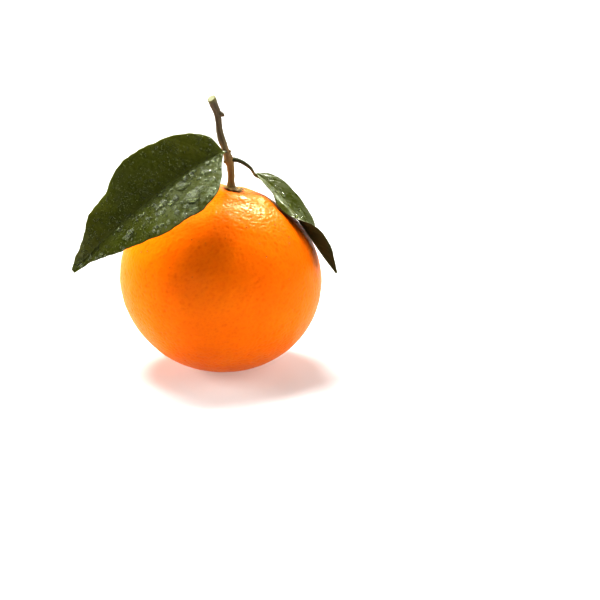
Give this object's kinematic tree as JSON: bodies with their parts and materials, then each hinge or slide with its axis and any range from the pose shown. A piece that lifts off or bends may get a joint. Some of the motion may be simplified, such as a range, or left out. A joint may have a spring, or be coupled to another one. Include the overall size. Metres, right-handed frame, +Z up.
{
  "type": "orange with twig and leaves",
  "caption": "Whole fresh orange resting on its blossom end, with its star-shaped calyx, a short woody twig and glossy folded leaves",
  "frame": {"origin": "middle of the small flat that the fruit rests on", "axes": "+Z up, opposite to the way the resting flat faces; +X to the viewer's right and -Y towards the viewer, with the big leaf on the -X side"},
  "size_m": [0.0999, 0.0844, 0.1078],
  "materials": {
    "peel": "waxy, finely pitted",
    "calyx": "dry, matte",
    "bark": "rough, matte",
    "leaf": "glossy above, matte below"
  },
  "bodies": {
    "root": {"fruit": "peel", "calyx": "calyx", "twig": "bark", "leaf_left": "leaf", "leaf_right": "leaf"}
  },
  "joints": []
}
